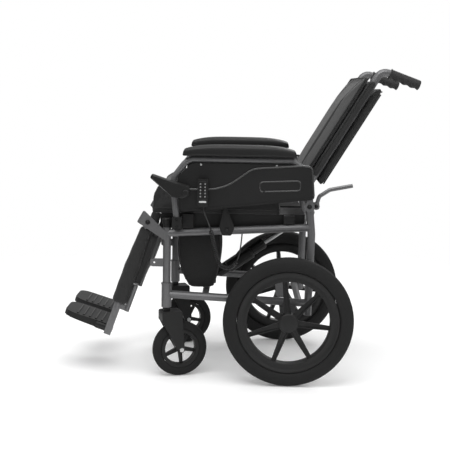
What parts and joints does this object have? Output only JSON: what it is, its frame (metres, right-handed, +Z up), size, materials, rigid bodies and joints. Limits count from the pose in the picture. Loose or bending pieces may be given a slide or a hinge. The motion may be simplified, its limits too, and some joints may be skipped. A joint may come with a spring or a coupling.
{
  "type": "reclining transport wheelchair",
  "caption": "Grey-framed reclining attendant wheelchair with powered backrest, elevating legrests, flip-up arms and a curly-corded handset.",
  "frame": {"origin": "on the floor below the middle of the chair's outer box, without the handset lead", "axes": "+X towards the occupant's left, -Y forward, +Z up"},
  "size_m": [0.619, 1.1135, 0.9835],
  "materials": {
    "frame_paint": "satin grey powder coat",
    "black_plastic": "fine-grained moulded plastic",
    "tyre_rubber": "solid tyre rubber, matte",
    "upholstery": "padded nylon cloth, matte",
    "bright_steel": "bright zinc-plated steel",
    "bag_fabric": "woven nylon bag cloth",
    "grip_rubber": "soft matte rubber",
    "arm_pad_vinyl": "fine-grained vinyl skin",
    "key_plastic": "light grey keys",
    "lead_sheath": "smooth cable sheath"
  },
  "bodies": {
    "frame": {"side_frame_left": "frame_paint", "side_frame_right": "frame_paint", "cross_tube_front": "frame_paint", "cross_tube_rear": "frame_paint", "seat_pan": "black_plastic", "seat_cushion": "upholstery", "battery_bag": "bag_fabric", "post_cap_left": "black_plastic", "post_cap_right": "black_plastic", "arm_socket_left": "black_plastic", "arm_socket_right": "black_plastic", "handset_lead": "lead_sheath"},
    "back": {"back_frame": "frame_paint", "back_upholstery": "upholstery", "back_cushion": "upholstery", "push_grip_left": "grip_rubber", "push_grip_right": "grip_rubber"},
    "release": {"recline_release_lever": "frame_paint"},
    "drive": {"recline_drive_body": "black_plastic"},
    "rod": {"recline_drive_rod": "bright_steel"},
    "wheel_left": {"rear_wheel_left": "black_plastic", "rear_tyre_left": "tyre_rubber"},
    "fork_left": {"caster_fork_left": "black_plastic", "caster_bolt_left": "bright_steel"},
    "caster_left": {"caster_wheel_left": "black_plastic", "caster_tyre_left": "tyre_rubber"},
    "leg_left": {"leg_tube_left": "frame_paint", "leg_cover_left": "upholstery", "calf_pad_left": "upholstery"},
    "plate_left": {"footplate_left": "black_plastic"},
    "arm_left": {"arm_tube_left": "frame_paint", "arm_pad_left": "arm_pad_vinyl", "side_panel_left": "black_plastic", "control_pod": "black_plastic", "handset": "black_plastic"},
    "brake_left": {"brake_lever_left": "black_plastic"},
    "wheel_right": {"rear_wheel_right": "black_plastic", "rear_tyre_right": "tyre_rubber"},
    "fork_right": {"caster_fork_right": "black_plastic", "caster_bolt_right": "bright_steel"},
    "caster_right": {"caster_wheel_right": "black_plastic", "caster_tyre_right": "tyre_rubber"},
    "leg_right": {"leg_tube_right": "frame_paint", "leg_cover_right": "upholstery", "calf_pad_right": "upholstery"},
    "plate_right": {"footplate_right": "black_plastic"},
    "arm_right": {"arm_tube_right": "frame_paint", "arm_pad_right": "arm_pad_vinyl", "side_panel_right": "black_plastic"},
    "brake_right": {"brake_lever_right": "black_plastic"},
    "key_01": {"handset_key_01": "key_plastic"},
    "key_02": {"handset_key_02": "key_plastic"},
    "key_03": {"handset_key_03": "key_plastic"},
    "key_04": {"handset_key_04": "key_plastic"},
    "key_05": {"handset_key_05": "key_plastic"},
    "key_06": {"handset_key_06": "key_plastic"},
    "key_07": {"handset_key_07": "key_plastic"},
    "key_08": {"handset_key_08": "key_plastic"},
    "key_09": {"handset_key_09": "key_plastic"},
    "key_10": {"handset_key_10": "key_plastic"}
  },
  "joints": [
    {"name": "rear_wheel_left_spin", "type": "hinge", "parent": "frame", "child": "wheel_left", "pos_m": [0.285, 0.1646, 0.203], "axis": [1, 0, 0], "continuous": true},
    {"name": "caster_left_swivel", "type": "hinge", "parent": "frame", "child": "fork_left", "pos_m": [0.208, -0.2194, 0.15], "axis": [0, 0, 1], "continuous": true},
    {"name": "caster_left_spin", "type": "hinge", "parent": "fork_left", "child": "caster_left", "pos_m": [0.19409, -0.1766, 0.089], "axis": [0.9511, 0.309, 0], "continuous": true},
    {"name": "rear_wheel_right_spin", "type": "hinge", "parent": "frame", "child": "wheel_right", "pos_m": [-0.285, 0.1646, 0.203], "axis": [1, 0, 0], "continuous": true},
    {"name": "caster_right_swivel", "type": "hinge", "parent": "frame", "child": "fork_right", "pos_m": [-0.208, -0.2194, 0.15], "axis": [0, 0, 1], "continuous": true},
    {"name": "caster_right_spin", "type": "hinge", "parent": "fork_right", "child": "caster_right", "pos_m": [-0.22191, -0.1766, 0.089], "axis": [0.9511, 0.309, 0], "continuous": true},
    {"name": "backrest_recline", "type": "hinge", "parent": "frame", "child": "back", "pos_m": [0, 0.2146, 0.615], "axis": [-1, 0, 0], "range_deg": [-21, 34]},
    {"name": "leg_left_elevate", "type": "hinge", "parent": "frame", "child": "leg_left", "pos_m": [0.2028, -0.2794, 0.497], "axis": [-1, 0, 0], "range_deg": [0, 60]},
    {"name": "footplate_left_flip", "type": "hinge", "parent": "leg_left", "child": "plate_left", "pos_m": [0.1718, -0.40553, 0.14279], "axis": [0, 0.9421, -0.3355], "range_deg": [0, 90]},
    {"name": "leg_right_elevate", "type": "hinge", "parent": "frame", "child": "leg_right", "pos_m": [-0.2028, -0.2794, 0.497], "axis": [-1, 0, 0], "range_deg": [0, 60]},
    {"name": "footplate_right_flip", "type": "hinge", "parent": "leg_right", "child": "plate_right", "pos_m": [-0.1718, -0.40553, 0.14279], "axis": [0, -0.9421, 0.3355], "range_deg": [0, 90]},
    {"name": "arm_left_flip", "type": "hinge", "parent": "frame", "child": "arm_left", "pos_m": [0.2545, 0.2216, 0.56], "axis": [-1, 0, 0], "range_deg": [0, 85]},
    {"name": "arm_right_flip", "type": "hinge", "parent": "frame", "child": "arm_right", "pos_m": [-0.2545, 0.2216, 0.56], "axis": [-1, 0, 0], "range_deg": [0, 85]},
    {"name": "brake_left_apply", "type": "hinge", "parent": "frame", "child": "brake_left", "pos_m": [0.2325, -0.0314, 0.47986], "axis": [1, 0, 0], "range_deg": [0, 35]},
    {"name": "brake_right_apply", "type": "hinge", "parent": "frame", "child": "brake_right", "pos_m": [-0.2325, -0.0314, 0.47986], "axis": [1, 0, 0], "range_deg": [0, 35]},
    {"name": "recline_release", "type": "hinge", "parent": "frame", "child": "release", "pos_m": [0.232, 0.2436, 0.559], "axis": [1, 0, 0], "range_deg": [0, 15], "stiffness_Nm_per_rad": 4, "springref_deg": -5.73},
    {"name": "drive_foot_turn", "type": "hinge", "parent": "frame", "child": "drive", "pos_m": [-0.02, -0.0794, 0.286], "axis": [1, 0, 0], "range_deg": [-8, 8]},
    {"name": "drive_rod_slide", "type": "slide", "parent": "drive", "child": "rod", "axis": [0, 0.8245, 0.5658], "range_m": [-0.06, 0.045]},
    {"name": "key_01_press", "type": "slide", "parent": "arm_left", "child": "key_01", "axis": [-1, 0, 0], "range_m": [0, 0.001], "stiffness_N_per_m": 400, "springref_m": -0.0002},
    {"name": "key_02_press", "type": "slide", "parent": "arm_left", "child": "key_02", "axis": [-1, 0, 0], "range_m": [0, 0.001], "stiffness_N_per_m": 400, "springref_m": -0.0002},
    {"name": "key_03_press", "type": "slide", "parent": "arm_left", "child": "key_03", "axis": [-1, 0, 0], "range_m": [0, 0.001], "stiffness_N_per_m": 400, "springref_m": -0.0002},
    {"name": "key_04_press", "type": "slide", "parent": "arm_left", "child": "key_04", "axis": [-1, 0, 0], "range_m": [0, 0.001], "stiffness_N_per_m": 400, "springref_m": -0.0002},
    {"name": "key_05_press", "type": "slide", "parent": "arm_left", "child": "key_05", "axis": [-1, 0, 0], "range_m": [0, 0.001], "stiffness_N_per_m": 400, "springref_m": -0.0002},
    {"name": "key_06_press", "type": "slide", "parent": "arm_left", "child": "key_06", "axis": [-1, 0, 0], "range_m": [0, 0.001], "stiffness_N_per_m": 400, "springref_m": -0.0002},
    {"name": "key_07_press", "type": "slide", "parent": "arm_left", "child": "key_07", "axis": [-1, 0, 0], "range_m": [0, 0.001], "stiffness_N_per_m": 400, "springref_m": -0.0002},
    {"name": "key_08_press", "type": "slide", "parent": "arm_left", "child": "key_08", "axis": [-1, 0, 0], "range_m": [0, 0.001], "stiffness_N_per_m": 400, "springref_m": -0.0002},
    {"name": "key_09_press", "type": "slide", "parent": "arm_left", "child": "key_09", "axis": [-1, 0, 0], "range_m": [0, 0.001], "stiffness_N_per_m": 400, "springref_m": -0.0002},
    {"name": "key_10_press", "type": "slide", "parent": "arm_left", "child": "key_10", "axis": [-1, 0, 0], "range_m": [0, 0.001], "stiffness_N_per_m": 400, "springref_m": -0.0002}
  ],
  "couplings": [
    {"joint": "drive_foot_turn", "follows": "backrest_recline", "ratio": 0.1337},
    {"joint": "drive_rod_slide", "follows": "backrest_recline", "m_per_rad": -0.095}
  ]
}
